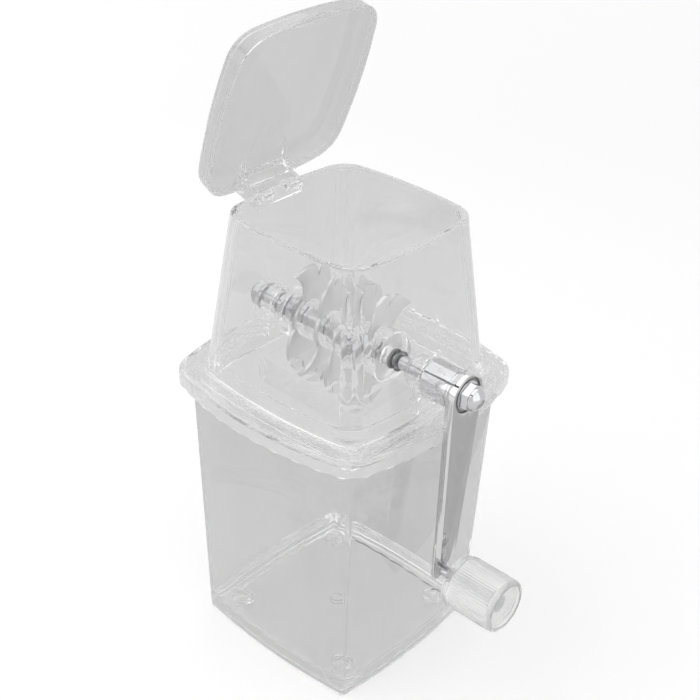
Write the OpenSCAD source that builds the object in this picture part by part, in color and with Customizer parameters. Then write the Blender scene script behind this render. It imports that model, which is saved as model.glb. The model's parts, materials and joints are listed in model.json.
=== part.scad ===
// Hand cranked ice crusher: a clear bin, a clear hopper standing on it with a hinged lid,
// and a rotor of steel claws turned by a crank. Origin: middle of the base, +Z up,
// +X towards the crank, -X towards the lid's hinge.

/* [Bin] */
// Width of the bin under its rim, across the middle of two sides
bin_top_w = 114; // [104:1:122]
// Width of the bin at its base
bin_base_w = 105; // [96:1:112]
// Height of the bin's rim above the table
bin_h = 151.2; // [130:1:180]
// Radius of the gently bulged sides of the bin
bin_side_r = 339; // [200:1:600]
// Radius of the bin's upright corners
bin_corner_r = 6; // [5:0.5:9]
// Thickness of the moulded clear walls
wall = 2.5; // [2:0.1:3]
// Height of the recess under the bin's floor
base_recess = 3; // [2:0.5:5]
// Radius between the bin's floor and its walls, inside
floor_fillet = 6; // [2:0.5:9]
// How far the rim's lip stands out from the wall
lip_out = 6.4; // [4:0.2:8]
// Thickness of the rim's lip
lip_t = 2.4; // [1.8:0.1:3.2]
// Diameter of a foot
foot_d = 12.4; // [8:0.2:16]
// Distance between the centres of two neighbouring feet
foot_pitch = 71.2; // [56:0.2:76]

/* [Hopper] */
// Width of the hopper just above its flange
hopper_base_w = 109.4; // [104:0.2:110]
// Width of the hopper at its mouth
hopper_top_w = 89; // [80:0.5:96]
// Height of the hopper from its flange to its mouth
hopper_h = 82.6; // [76:0.2:110]
// Radius of the hopper's bulged sides
hopper_side_r = 224; // [170:1:320]
// Radius of the hopper's upright corners, outside
hopper_corner_r = 14; // [10:0.5:16]
// Extra radius of the inner corners, which makes the corners thick
corner_thickening = 3; // [0:0.5:4]
// Room all round between the bin's lip and the skirt that hangs over it
skirt_room = 2.05; // [1:0.05:5]
// Thickness of the skirt
skirt_t = 2.3; // [1.6:0.1:3]
// Radius of the flange's bulged sides
flange_side_r = 160; // [140:1:220]
// Radius of the flange's corners
flange_corner_r = 9; // [7:0.5:12]
// Depth of the skirt that hangs from the flange
skirt_depth = 8.5; // [7:0.5:11]
// Depth of the collar that plugs into the bin
collar_depth = 7; // [4:0.5:10]

/* [Lid] */
// Overhang of the lid past the hopper's mouth on each side
lid_overhang = 1.4; // [0.5:0.1:2]
// Height of the lid's skirt and top together
lid_h = 10.2; // [8:0.2:14]
// Thickness of the lid
lid_wall = 2.2; // [1.8:0.1:2.6]
// Angle at which the lid stands open, from closed
lid_open = 71; // [0:1:71]
// Width of the lid's hinge, across both cheeks
hinge_w = 30; // [26:1:40]
// Distance of the hinge pins below the hopper's mouth
hinge_drop = 4; // [3.6:0.1:4.6]
// Diameter of a hinge pin
hinge_pin_d = 2; // [1.6:0.1:2.4]
// Width of the thumb lip
thumb_w = 28; // [16:1:40]
// How far the thumb lip stands out
thumb_out = 1.2; // [0.6:0.2:4]

/* [Rotor] */
// Height of the shaft above the hopper's flange
shaft_rise = 18; // [16:0.5:24]
// Diameter of the shaft's round ends
journal_d = 7; // [6:0.1:8]
// Size of the shaft's hexagon across its flats
hex_af = 8; // [7.5:0.1:9]
// Number of claw blades
blade_count = 4; // [4]
// Distance from one blade to the next
blade_pitch = 14.4; // [12:0.2:15]
// Thickness of a blade
blade_t = 2; // [1.5:0.1:3]
// Radius that the claws sweep
blade_r = 28; // [25:0.5:29]
// Middle of the row of blades, from the middle of the hopper
rotor_offset = -2.4; // [-4:0.2:0]
// Diameter of the clear spacers between the blades
spacer_d = 20; // [16:0.5:22]
// Diameter of the clear discs at the ends of the row
disc_d = 26; // [22:0.5:28]
// Thickness of those discs
disc_t = 9; // [6:0.5:10]
// Diameter of the chrome tube inside the far wall
tube_d = 12; // [10:0.5:14]
// Cord diameter of the black O-rings
ring_cord = 2.2; // [1.6:0.1:2.6]
// Radius of the round hub in the middle of a blade
hub_r = 11; // [10.5:0.1:12]
// How deep a claw is notched
notch_depth = 6.2; // [3:0.2:8]
// Thickness of a bar of the breaker grate
bar_t = 3; // [2:0.5:5]
// Height of the grate's bars and of the walls round its throat
bar_h = 12; // [8:0.5:12]
// Gap between the claws' sweep and the top of the throat's walls
claw_gap = 2.4; // [1:0.1:4]
// Thickness of the grate's plate and of the walls round its throat
grate_t = 2.2; // [1.6:0.1:3]

/* [Crank] */
// Distance between the shaft and the knob's pin
crank_l = 100; // [84:1:104]
// How far the crank stands from straight down, towards -Y
crank_lean = 3.3; // [-10:0.1:10]
// Diameter of the chrome sleeve outside the wall
sleeve_d = 19; // [16:0.5:20]
// Gap between the flange's edge and the crank arm, which the sleeve spans
arm_clear = 2.63; // [1.5:0.01:8]
// Diameter of the crank arm's round head
head_d = 21.6; // [20:0.2:26]
// Width of the crank arm at the knob
arm_end_w = 11.6; // [10:0.2:14]
// Depth of the pressed arm, front to back
arm_depth = 4.6; // [4:0.2:6]
// Thickness of the arm's sheet steel
sheet_t = 1.5; // [1.2:0.1:2]
// Size of the cap nuts across their flats
nut_af = 12; // [11:0.5:13]

/* [Knob] */
// Diameter of the knob over its ribs
knob_d = 27.4; // [22:0.2:32]
// Length of the knob
knob_l = 31; // [26:0.5:40]
// Number of fine ribs round the knob
knob_ribs = 44; // [24:1:50]
// Diameter of the knob's pin
knob_pin_d = 5; // [4:0.2:6]
// Gap between the arm and the knob
knob_gap = 8.6; // [4:0.2:10]

/* [Fits] */
// Gap between pieces that rest against each other
seat_gap = 0.3; // [0.2:0.05:0.4]
// Radial clearance of a shaft that turns in a bore
run_gap = 0.05; // [0.02:0.01:0.09]
// Radial clearance of a piece slid over a shaft
slip_gap = 0.1; // [0.05:0.01:0.2]

/* [Hidden] */

$fn = 48;
clear = [0.85, 0.89, 0.92, 0.4];
steel = [0.66, 0.67, 0.68];
chrome = [0.82, 0.83, 0.85];
black = [0.06, 0.06, 0.06];

// Steps along one side and round one corner of a bulged outline
side_steps = 8;
corner_steps = 8;

// Heights
flange_z = bin_h + seat_gap + wall;
mouth_z = flange_z + hopper_h;
shaft_z = flange_z + shaft_rise;
floor_z = base_recess + wall;
draft = (hopper_base_w - hopper_top_w) / 2 / hopper_h;

// Half widths at a height: the bin's inside at the collar, and the hopper's outside
function bin_half(z) = (bin_base_w + (bin_top_w - bin_base_w) * z / bin_h) / 2;
function hopper_half(z) = hopper_base_w / 2 - draft * (z - flange_z);

// The bin's lip, and the flange of the hopper that covers it
lip_half = bin_half(bin_h) + lip_out;
flange_half = lip_half + skirt_room + skirt_t;

// Where a bulged side lies at a distance from its middle
function side_at(half, side_r, y) = half - side_r + sqrt(side_r * side_r - y * y);

// The shaft's stations along X
spot_stand = 0.5;
boss_face = hopper_half(shaft_z) + spot_stand;
blade_x = [for (i = [0:blade_count - 1]) rotor_offset + (i - (blade_count - 1) / 2) * blade_pitch];
disc_left_x = blade_x[0] - blade_t / 2 - slip_gap - disc_t;
disc_right_x = blade_x[blade_count - 1] + blade_t / 2 + slip_gap;
rings_x = disc_right_x + disc_t + slip_gap;
bush_flange_t = 1.4;
boss_l = 7.5;
rib_w = 4;
rib_t = 2;
rib_x0 = boss_face - wall - rib_w;
bush_in_x = boss_face - wall - boss_l;
sleeve_x = boss_face + seat_gap;
arm_x = flange_half + arm_clear;
sleeve_l = arm_x - slip_gap - sleeve_x;
arm_face_x = arm_x + arm_depth;

// Shape of a claw's arm: the circles of its leading and trailing edges, as shares of the
// swept radius, and angles from the arm's middle
lead_at = 0.513;
lead_a = 9.9;
lead_r = 0.615;
trail_at = 0.777;
trail_a = 49;
trail_r = 0.453;
fang_a = -20;
notch_a = -14.6;
lobe_a = -5.2;
blade_turn = 30;

// Fixed details of the turned and pressed pieces
bush_wall = 2;
boss_wall = 2.5;
thread_step = 1.5;
stud_step = 0.5;
bush_d = journal_d + 2 * bush_wall;
boss_d = bush_d + 2 * boss_wall;
spot_d = sleeve_d + 1.6;
washer_t = 1;
thread_d = journal_d - thread_step;
stud_d = thread_d - stud_step;
square_w = 5;
nut_h = 5;
dome_h = 4.4;
recess_depth = 2.2;
recess_rim = 1.9;
lug_set = 5.4;
lug_lap = 12;

// Small details of the bin: its lower edge, the lip's edge, the gate mark and the feet
edge_up = 0.6;
edge_r = 1;
lip_round = 0.5;
gate_d = 7;
gate_drop = 1;
foot_round = 1;
foot_base_t = 2;

// Hinge of the lid
knuckle_wall = 1.3;
hinge_knuckle_r = hinge_pin_d / 2 + knuckle_wall;
cheek_t = 2.4;
cheek_gap = 0.3;
ear_in_y = 5;
hinge_z = mouth_z - hinge_drop;
hinge_x = -hopper_half(hinge_z) - hinge_knuckle_r - cheek_gap;
tab_t = 2;
tab_room = 1;
tab_in_x = hinge_x - hinge_knuckle_r - tab_room;
tab_below = 3;
thumb_r = 40;

// A closed outline with four bulged sides and round corners, anticlockwise from above
function outline(half, side_r, corner_r) =
    let (d = side_r - half)
    let (t = (sqrt(2 * pow(side_r - corner_r, 2) - d * d) - d) / 2)
    let (phi = atan2(t, t + d))
    [for (q = [0:3]) each concat(
        [for (i = [0:side_steps])
            let (a = phi * (2 * i / side_steps - 1))
            turn([side_r * cos(a) - d, side_r * sin(a)], q)],
        [for (i = [1:corner_steps - 1])
            let (a = phi + (90 - 2 * phi) * i / corner_steps)
            turn([t + corner_r * cos(a), t + corner_r * sin(a)], q)]
    )];

// A point turned by quarter turns
function turn(p, quarters) =
    quarters == 0 ? p : turn([-p[1], p[0]], quarters - 1);

// A section of a loft: half width, height, and the radii of its sides and corners
function section(half, z, side_r, corner_r) =
    [for (p = outline(half, side_r, corner_r)) [p[0], p[1], z]];
function bin_section(half, z) =
    section(half, z, bin_side_r, max(1, bin_corner_r + half - bin_half(z)));
function hopper_section(inset, z, extra_r = 0) =
    section(hopper_half(z) - inset, z, hopper_side_r - inset, hopper_corner_r - inset + extra_r);
function flange_section(inset, z) =
    section(flange_half - inset, z, flange_side_r - inset, flange_corner_r - inset / 2);
function lid_section(inset, z) =
    section(hopper_top_w / 2 + lid_overhang - inset, z, hopper_side_r - inset,
        hopper_corner_r + lid_overhang - inset);

// Two triangles for each step from one ring of points to the next
function band(a, b, n) = [for (i = [0:n - 1]) each [
    [a * n + i, b * n + i, b * n + (i + 1) % n],
    [a * n + i, b * n + (i + 1) % n, a * n + (i + 1) % n]
]];

// A solid lofted through sections from the bottom to the top
module loft(sections) {
    n = len(sections[0]);
    last = len(sections) - 1;
    polyhedron(
        points = [for (s = sections) each s],
        faces = concat(
            [[for (i = [0:n - 1]) i]],
            [for (k = [0:last - 1]) each band(k, k + 1, n)],
            [[for (i = [n - 1:-1:0]) last * n + i]]
        ),
        convexity = 6
    );
}

// A wall swept round: its sections go up the outside and come down the inside
module loft_wall(sections) {
    n = len(sections[0]);
    count = len(sections);
    polyhedron(
        points = [for (s = sections) each s],
        faces = [for (k = [0:count - 1]) each band(k, (k + 1) % count, n)],
        convexity = 8
    );
}

// Cylinder along X from one station to another
module rod(x0, x1, d, sides = 48) {
    translate([x0, 0, 0]) rotate([0, 90, 0]) cylinder(d = d, h = x1 - x0, $fn = sides);
}

// Hexagonal bar along X, given its size across the flats
module hex_rod(x0, x1, af) {
    rod(x0, x1, af / cos(30), 6);
}

// Everything that turns with the shaft is drawn round X and set on the shaft's line
module on_shaft(lean = crank_lean) {
    translate([0, 0, shaft_z]) rotate([-lean, 0, 0]) children();
}

// Flat shape in Y and Z, given thickness along X
module plate_x(x0, t) {
    translate([x0, 0, 0]) rotate([90, 0, 90]) linear_extrude(t) children();
}

module bin() {
    edge_top = edge_up + edge_r;
    lip_under = bin_h - lip_t;
    color(clear) {
        difference() {
            loft([
                bin_section(bin_half(0) - edge_r * 0.8, edge_up),
                bin_section(bin_half(edge_top), edge_top),
                bin_section(bin_half(lip_under - edge_r), lip_under - edge_r),
                bin_section(bin_half(bin_h) + edge_r * 0.8, lip_under),
                flange_section(flange_half - lip_half, lip_under + 0.3),
                flange_section(flange_half - lip_half, bin_h - lip_round),
                flange_section(flange_half - lip_half + lip_round, bin_h)
            ]);
            loft([
                bin_section(bin_half(floor_z) - wall - floor_fillet, floor_z),
                bin_section(bin_half(floor_z) - wall - floor_fillet * 0.5, floor_z + floor_fillet * 0.13),
                bin_section(bin_half(floor_z) - wall - floor_fillet * 0.13, floor_z + floor_fillet * 0.5),
                bin_section(bin_half(floor_z + floor_fillet) - wall, floor_z + floor_fillet),
                bin_section(bin_half(bin_h) - wall, bin_h + 1)
            ]);
            loft([
                bin_section(bin_half(0) - wall, -1),
                bin_section(bin_half(base_recess) - wall - 0.4, base_recess)
            ]);
        }
        // the gate mark of the moulding, in the middle under the floor
        translate([0, 0, base_recess - gate_drop]) cylinder(d = gate_d, h = gate_drop + 0.5);
    }
}

// Each foot is a round cup with its mouth up against the floor
module feet() {
    color(clear)
        for (sx = [-1, 1], sy = [-1, 1])
            translate([sx * foot_pitch / 2, sy * foot_pitch / 2, 0])
                rotate_extrude()
                    polygon([[0, 0], [foot_d / 2 - foot_round, 0], [foot_d / 2, foot_round],
                        [foot_d / 2, base_recess], [foot_d / 4, base_recess],
                        [foot_d / 4, foot_base_t], [0, foot_base_t]]);
}

// The collar's outside clears the bin's inside by the seat gap
collar_half = bin_half(bin_h - collar_depth) - wall - seat_gap;
collar_t = 2;
// The lip inside the collar that the grate snaps over
snap_in = 0.8;
snap_h = 1.2;

module hopper_shell() {
    under_z = flange_z - wall;
    skirt_z = flange_z - skirt_depth;
    collar_z = under_z - collar_depth;
    loft_wall([
        bin_section(collar_half, collar_z),
        bin_section(collar_half, under_z),
        flange_section(skirt_t, under_z),
        flange_section(skirt_t - 0.2, skirt_z),
        flange_section(0.4, skirt_z),
        flange_section(0, under_z + 0.3),
        flange_section(0.7, flange_z - 0.7),
        flange_section(2.1, flange_z),
        hopper_section(-3.4, flange_z + 0.2),
        hopper_section(-1, flange_z + 1.1),
        hopper_section(0, flange_z + 3.4),
        hopper_section(0, mouth_z - 0.6),
        hopper_section(0.6, mouth_z),
        hopper_section(wall - 0.5, mouth_z, corner_thickening),
        hopper_section(wall, mouth_z - 0.5, corner_thickening),
        hopper_section(wall, flange_z + 2, corner_thickening),
        bin_section(collar_half - collar_t, flange_z - 1),
        bin_section(collar_half - collar_t, collar_z + snap_h),
        bin_section(collar_half - collar_t - snap_in, collar_z + snap_h),
        bin_section(collar_half - collar_t - snap_in, collar_z)
    ]);
}

// A bearing boss on the crank's side wall: a round boss, a spot face outside the wall, and
// two ribs that carry the boss down to the flange
module bearing_boss() {
    translate([0, 0, shaft_z]) {
        rod(boss_face - wall - boss_l, boss_face - wall / 2, boss_d);
        rod(boss_face - wall - spot_stand, boss_face, spot_d);
    }
    for (y = [-boss_d / 2 + 1, boss_d / 2 - 1 - rib_t])
        translate([rib_x0, y, flange_z - 1]) cube([rib_w, rib_t, shaft_rise]);
}

// One ear that holds a pin of the lid, outside the wall
module hinge_ear() {
    len_y = hinge_w / 2 - cheek_t - cheek_gap - ear_in_y;
    translate([hinge_x, ear_in_y, hinge_z]) rotate([-90, 0, 0])
        cylinder(r = hinge_knuckle_r, h = len_y);
    translate([hinge_x, ear_in_y, hinge_z - hinge_knuckle_r])
        cube([-hinge_x - hopper_half(hinge_z) + wall * 0.56, len_y, 2 * hinge_knuckle_r]);
}

module hopper() {
    color(clear)
        difference() {
            union() {
                hopper_shell();
                for (s = [0, 1]) {
                    mirror([s, 0, 0]) bearing_boss();
                    mirror([0, s, 0]) hinge_ear();
                }
            }
            // spot faces, bores for the bushes, and bores for the hinge pins
            for (s = [0, 1])
                mirror([s, 0, 0]) translate([0, 0, shaft_z]) {
                    rod(boss_face, boss_face + 2 * wall, spot_d);
                    rod(boss_face - 2 * (wall + boss_l), boss_face + 1, bush_d + 2 * slip_gap);
                }
            translate([hinge_x, -hinge_w, hinge_z]) rotate([-90, 0, 0])
                cylinder(d = hinge_pin_d + 2 * run_gap, h = 2 * hinge_w);
        }
}

// The fixed grate under the rotor. A deck slopes from the hopper's walls down to a throat
// that the claws sweep through, and bars cross the throat between the claws.
grate_half = collar_half - collar_t - seat_gap;
grate_z = flange_z - wall - collar_depth + snap_h + seat_gap;
throat_z = grate_z + bar_h;
throat_x = (blade_count * blade_pitch - bar_t) / 2;
throat_y = sqrt(pow(blade_r + claw_gap, 2) - pow(shaft_z - throat_z, 2));
deck_rise = 3;
deck_z = throat_z + deck_rise;
hub_gap = 1.2;

// The deck's outline follows the hopper's inside, one seat gap away
function deck_section(inset, z) =
    let (in = wall + seat_gap + inset)
    section(hopper_half(deck_z) - in, z, hopper_side_r - in, hopper_corner_r + corner_thickening - in);
function throat_section(inset, z) =
    [for (p = outline(throat_y - inset, 20 * throat_y, grate_t + 1))
        [p[0] + sign(p[0]) * (throat_x - throat_y) + rotor_offset, p[1], z]];

module breaker_grate() {
    foot_z = grate_z + grate_t;
    skirt_z = foot_z + 2 * grate_t;
    color(clear)
        difference() {
            union() {
                loft_wall([
                    bin_section(grate_half, grate_z),
                    bin_section(grate_half, foot_z),
                    deck_section(0, skirt_z),
                    deck_section(0, deck_z),
                    throat_section(0, throat_z),
                    throat_section(0, grate_z),
                    throat_section(-grate_t, grate_z),
                    throat_section(-grate_t, throat_z - grate_t),
                    deck_section(grate_t, deck_z - grate_t),
                    deck_section(grate_t, skirt_z),
                    bin_section(grate_half - grate_t, foot_z),
                    bin_section(grate_half - grate_t, grate_z)
                ]);
                for (i = [1:blade_count - 1]) {
                    x = blade_x[0] + (i - 0.5) * blade_pitch;
                    y = throat_y + grate_t / 2;
                    plate_x(x - bar_t / 2, bar_t)
                        translate([-y, grate_z]) square([2 * y, bar_h]);
                }
            }
            // the dish that clears the rotor's hubs, and notches for the ribs of the bosses
            translate([0, 0, shaft_z])
                rod(disc_left_x - hub_gap, rings_x + hub_gap, disc_d + 2 * hub_gap);
            for (s = [0, 1])
                mirror([s, 0, 0])
                    translate([rib_x0 - seat_gap, -boss_d / 2, skirt_z])
                        cube([2 * rib_w, boss_d, deck_z]);
        }
}

// The lid as it lies closed
module lid_closed() {
    z0 = mouth_z + seat_gap;
    z1 = z0 + lid_h;
    out_half = hopper_top_w / 2 + lid_overhang;
    difference() {
        union() {
            loft([
                lid_section(0, z0),
                lid_section(0.3, z1 - 3),
                lid_section(0.9, z1 - 1.2),
                lid_section(2.2, z1 - 0.3),
                lid_section(4, z1)
            ]);
            // thumb lip
            translate([0, 0, z0]) linear_extrude(lid_wall)
                intersection() {
                    translate([out_half + thumb_out - thumb_r, 0]) circle(r = thumb_r);
                    translate([out_half - thumb_w / 2, -thumb_w / 2]) square(thumb_w);
                }
            // box of the hinge
            translate([tab_in_x - tab_t, -hinge_w / 2, z0])
                cube([-out_half + 3 - tab_in_x + tab_t, hinge_w, lid_h - 0.6]);
        }
        loft([
            lid_section(lid_wall, z0 - 1),
            lid_section(lid_wall, z0 + lid_h - lid_wall - 1.4),
            lid_section(lid_wall + 1.4, z0 + lid_h - lid_wall)
        ]);
        // hollow of the hinge box, over the ears
        translate([tab_in_x, -hinge_w / 2 + cheek_t, z0 - 1])
            cube([-out_half + 0.2 - tab_in_x, hinge_w - 2 * cheek_t, lid_h - lid_wall]);
    }
    // tab and cheeks that reach down to the pins
    translate([tab_in_x - tab_t, -hinge_w / 2, hinge_z - tab_below])
        cube([tab_t, hinge_w, z0 - hinge_z + tab_below + 1]);
    for (s = [-1, 1])
        translate([0, s > 0 ? hinge_w / 2 - cheek_t : -hinge_w / 2, 0])
            difference() {
                union() {
                    translate([hinge_x, 0, hinge_z]) rotate([-90, 0, 0])
                        cylinder(r = hinge_knuckle_r, h = cheek_t);
                    translate([tab_in_x - 0.5, 0, hinge_z - hinge_knuckle_r])
                        cube([hinge_x - tab_in_x + 0.5, cheek_t, hinge_knuckle_r * 2]);
                    translate([tab_in_x - 0.5, 0, hinge_z])
                        cube([hinge_x - tab_in_x + hinge_knuckle_r + 0.5, cheek_t, z0 - hinge_z + 1]);
                }
                translate([hinge_x, -1, hinge_z]) rotate([-90, 0, 0])
                    cylinder(d = hinge_pin_d + 2 * 0.01, h = cheek_t + 2);
            }
}

// Turns what is drawn on the closed lid to where the lid stands open
module at_lid() {
    translate([hinge_x, 0, hinge_z]) rotate([0, -lid_open, 0]) translate([-hinge_x, 0, -hinge_z])
        children();
}

module lid() {
    color(clear) at_lid() lid_closed();
}

module hinge_pins() {
    pin_l = hinge_w / 2 - ear_in_y;
    color(steel) at_lid()
        for (s = [-1, 1])
            translate([hinge_x, s > 0 ? ear_in_y : -hinge_w / 2, hinge_z])
                rotate([-90, 0, 0]) cylinder(d = hinge_pin_d, h = pin_l);
}

// A plain bush with a flange on its inner end, drawn for the crank's side
module bush() {
    difference() {
        union() {
            rod(bush_in_x, boss_face, bush_d);
            rod(bush_in_x - bush_flange_t, bush_in_x, bush_d + 2 * bush_flange_t);
        }
        rod(bush_in_x - boss_l, boss_face + boss_l, journal_d + 2 * run_gap);
    }
}

module bush_right() {
    color(clear) translate([0, 0, shaft_z]) bush();
}

module bush_left() {
    color(clear) translate([0, 0, shaft_z]) mirror([1, 0, 0]) bush();
}

module shaft() {
    tip = arm_face_x - recess_depth;
    color(chrome) on_shaft() {
        rod(-boss_face - washer_t - nut_h - thread_step, -boss_face, thread_d);
        rod(-boss_face, disc_left_x, journal_d);
        hex_rod(disc_left_x, rings_x, hex_af);
        rod(rings_x, arm_x, journal_d);
        translate([arm_x, -square_w / 2, -square_w / 2]) cube([tip - arm_x, square_w, square_w]);
        rod(tip, tip + washer_t + nut_h + thread_step, stud_d);
    }
}

// A point of a claw, by its distance from the shaft and its angle from the arm's middle
function claw_point(r, a) = [r * sin(a), -r * cos(a)];

// One arm of a blade, hanging down: a fang, a notch, and a lobe that ends in a hook.
// Its leading edge bulges and its trailing edge is hollow.
module claw_arm() {
    difference() {
        intersection() {
            circle(r = blade_r);
            translate(claw_point(blade_r * lead_at, lead_a)) circle(r = blade_r * lead_r);
        }
        translate(claw_point(blade_r * trail_at, trail_a)) circle(r = blade_r * trail_r);
        translate([blade_r * 0.3, -blade_r * 0.2]) square(blade_r);
        polygon([claw_point(blade_r - notch_depth, notch_a),
            claw_point(blade_r * 1.2, fang_a + 3), claw_point(blade_r * 1.2, lobe_a)]);
    }
}

// A blade turned by an angle, or turned over and then turned
module blade(i, angle, flip = false) {
    color(steel) on_shaft()
        difference() {
            translate([blade_x[i] - blade_t / 2, 0, 0]) rotate([angle, 0, 0])
                plate_x(0, blade_t) mirror([flip ? 1 : 0, 0]) {
                    circle(r = hub_r);
                    claw_arm();
                    rotate(180) claw_arm();
                }
            hex_rod(blade_x[i] - blade_t, blade_x[i] + blade_t, hex_af + 2 * slip_gap);
        }
}

module blade_1() { blade(0, crank_lean); }
module blade_2() { blade(1, crank_lean - blade_turn, true); }
module blade_3() { blade(2, crank_lean - blade_turn / 2); }
module blade_4() { blade(3, crank_lean - blade_turn, true); }

// A clear spacer between two blades, waisted in the middle
module spacer(i) {
    x0 = blade_x[i] + blade_t / 2 + slip_gap;
    l = blade_pitch - blade_t - 2 * slip_gap;
    color(clear) on_shaft()
        difference() {
            rod(x0, x0 + l, spacer_d);
            rod(x0 - 1, x0 + l + 1, hex_af / cos(30) + 2 * slip_gap);
        }
}

module spacer_1() { spacer(0); }
module spacer_2() { spacer(1); }
module spacer_3() { spacer(2); }

module end_disc(x0) {
    color(clear) on_shaft()
        difference() {
            rod(x0, x0 + disc_t, disc_d);
            rod(x0 - 1, x0 + disc_t + 1, hex_af / cos(30) + 2 * slip_gap);
        }
}

module disc_left() { end_disc(disc_left_x); }
module disc_right() { end_disc(disc_right_x); }

module inner_tube() {
    x0 = -bush_in_x + bush_flange_t + seat_gap;
    color(chrome) on_shaft()
        difference() {
            rod(x0, disc_left_x - slip_gap, tube_d);
            rod(x0 - 1, disc_left_x + 1, journal_d + 2 * slip_gap);
        }
}

module o_rings() {
    color(black) on_shaft()
        for (i = [0, 1])
            translate([rings_x + ring_cord * (i * 1.15 + 0.5) + slip_gap, 0, 0])
                rotate([0, 90, 0]) rotate_extrude()
                    translate([(journal_d + ring_cord) / 2 + run_gap, 0]) circle(d = ring_cord, $fn = 24);
}

module washer_left() {
    x1 = -boss_face - seat_gap;
    color(chrome) on_shaft()
        difference() {
            rod(x1 - washer_t, x1, nut_af + 3);
            rod(x1 - washer_t - 1, x1 + 1, thread_d + 2 * slip_gap);
        }
}

// A domed cap nut on X: seat at 0, hexagon, then dome
module cap_nut(bore_d) {
    difference() {
        union() {
            hex_rod(0, nut_h, nut_af);
            rod(0, 0.8, nut_af + 2.6);
            translate([nut_h, 0, 0]) rotate([0, 90, 0]) rotate_extrude()
                intersection() {
                    translate([0, -nut_af]) square([nut_af / 2 - 0.4, nut_af + dome_h]);
                    translate([0, dome_h - nut_af / 2 - 0.6]) circle(d = nut_af + 1.2);
                    square([nut_af, nut_af]);
                }
        }
        rod(-1, nut_h + 1.8, bore_d);
        rod(nut_h + dome_h - 0.6, nut_h + dome_h + 1, 2.4);
    }
}

module cap_nut_left() {
    color(chrome) on_shaft()
        translate([-boss_face - seat_gap - washer_t - slip_gap, 0, 0]) mirror([1, 0, 0])
            cap_nut(thread_d + 2 * run_gap);
}

module crank_cap_nut() {
    color(chrome) on_shaft()
        translate([arm_face_x - recess_depth + washer_t, 0, 0])
            cap_nut(stud_d + 2 * run_gap);
}

module crank_sleeve() {
    color(chrome) on_shaft()
        difference() {
            translate([sleeve_x, 0, 0]) rotate([0, 90, 0]) rotate_extrude()
                polygon([[0, 0], [sleeve_d / 2 - 0.8, 0], [sleeve_d / 2, 0.8],
                    [sleeve_d / 2, sleeve_l - 2], [sleeve_d / 2 - 0.6, sleeve_l - 1.6],
                    [sleeve_d / 2 - 0.6, sleeve_l - 1.2], [sleeve_d / 2, sleeve_l - 0.8],
                    [sleeve_d / 2, sleeve_l], [0, sleeve_l]]);
            rod(sleeve_x - 1, sleeve_x + sleeve_l + 1, journal_d + 2 * slip_gap);
        }
}

// Two circles and their tangents: r0 at the shaft, r1 at a distance l below it
module tapered_slot(r0, r1, l) {
    hull() {
        circle(r = r0);
        translate([0, -l]) circle(r = r1);
    }
}

// The crank arm: a tapered trough pressed from sheet, open at the back, with a round
// head dished for the nut and a lug set back for the knob's pin
module crank_arm() {
    head_r = head_d / 2;
    end_r = arm_end_w / 2;
    front_l = crank_l - lug_set - end_r;
    color(chrome) on_shaft()
        difference() {
            union() {
                difference() {
                    plate_x(arm_x, arm_depth) tapered_slot(head_r, end_r, front_l);
                    plate_x(arm_x - 1, arm_depth - sheet_t + 1)
                        difference() {
                            tapered_slot(head_r - sheet_t, end_r - sheet_t, front_l);
                            circle(r = head_r + 1);
                        }
                }
                plate_x(arm_x, sheet_t)
                    intersection() {
                        tapered_slot(head_r, end_r, crank_l);
                        translate([-head_r, -crank_l - end_r]) square([head_d, end_r + lug_set + lug_lap]);
                    }
            }
            rod(arm_face_x - recess_depth, arm_face_x + 1, head_d - 2 * recess_rim);
            translate([arm_x - 1, -square_w / 2 - slip_gap, -square_w / 2 - slip_gap])
                cube([arm_depth + 2, square_w + 2 * slip_gap, square_w + 2 * slip_gap]);
            translate([0, 0, -crank_l]) rod(arm_x - 1, arm_x + sheet_t + 1, knob_pin_d - 1 + 0.02);
        }
}

module crank_washer() {
    x0 = arm_face_x - recess_depth;
    color(black) on_shaft()
        difference() {
            rod(x0, x0 + washer_t, head_d - 2 * recess_rim - 4 * slip_gap);
            rod(x0 - 1, x0 + washer_t + 1, stud_d + 2 * slip_gap);
        }
}

// The knob's own line, at the end of the arm
module on_knob() {
    on_shaft() translate([arm_x + sheet_t, 0, -crank_l]) children();
}

// The knob's round shell, its core on the pin, and its ribs
knob_wall = 2.4;
core_wall = 2.2;
neck_r = 5;
end_round = 2;
rib_stand = 0.35;
knob_rib_r = 0.6;

// Stations of the knob along its pin, from the lug's face
knob_x0 = knob_gap;
knob_x1 = knob_gap + knob_l;
pin_head_t = 2.6;
pin_head_d = knob_pin_d + 4;
rivet_t = 1.6;
collar_l = 0.9;
cap_t = 1.6;
cap_set = 1.8;
cap_rim = 2.5;
core_x1 = knob_x1 - cap_set - cap_t - pin_head_t - 1.6;

module knob_pin() {
    color(chrome) on_knob() {
        rod(-sheet_t - rivet_t, -sheet_t, knob_pin_d + rivet_t);
        rod(-sheet_t, 0, knob_pin_d - 1);
        rod(0, collar_l, knob_pin_d + rivet_t);
        rod(0, core_x1 + seat_gap, knob_pin_d);
        rod(core_x1 + seat_gap, core_x1 + seat_gap + pin_head_t, pin_head_d);
    }
}

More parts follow.
